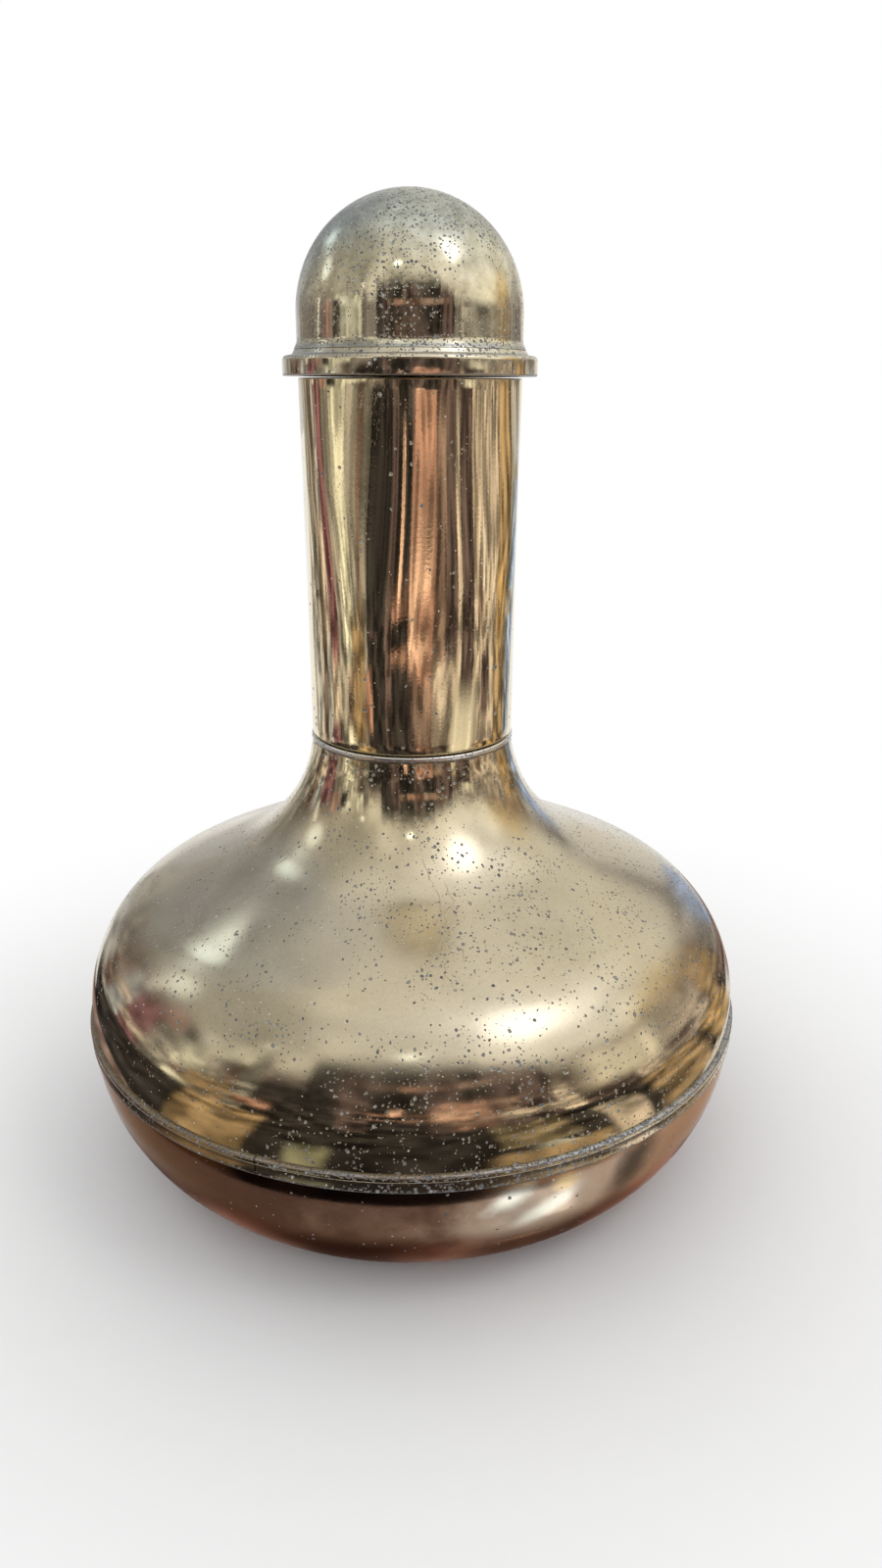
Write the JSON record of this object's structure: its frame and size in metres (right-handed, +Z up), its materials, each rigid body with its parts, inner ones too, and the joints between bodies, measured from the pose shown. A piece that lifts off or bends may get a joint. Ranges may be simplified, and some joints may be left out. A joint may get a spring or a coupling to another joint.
{
  "type": "metal bottle with lift-off cap",
  "caption": "Squat spun-brass bottle with a long drawn neck and a domed cap whose cork pulls straight out of the mouth.",
  "frame": {"origin": "on the table plane, under the middle of the flat foot", "axes": "+Z up along the axis that every piece is turned about; -Y towards the viewer of the picture, whose camera is at the front"},
  "size_m": [0.1398, 0.1398, 0.1913],
  "materials": {
    "shoulder_brass": "satin",
    "bowl_brass": "polished",
    "bead_brass": "satin",
    "neck_brass": "polished",
    "inner_brass": "matte",
    "dome_brass": "satin",
    "flange_brass": "polished",
    "cork": "matte",
    "stud_steel": "satin"
  },
  "bodies": {
    "bottle": {"upper_shell": "shoulder_brass", "lower_shell": "bowl_brass", "seam_bead": "bead_brass", "neck_tube": "neck_brass", "neck_ferrule": "inner_brass"},
    "cap": {"cap_dome": "dome_brass", "cap_flange": "flange_brass", "cork_plug": "cork", "cork_washer": "inner_brass", "cork_stud": "stud_steel", "cork_nut": "stud_steel"}
  },
  "joints": [
    {"name": "cap_lift", "type": "slide", "parent": "bottle", "child": "cap", "axis": [0, 0, 1], "range_m": [0, 0.05]}
  ]
}
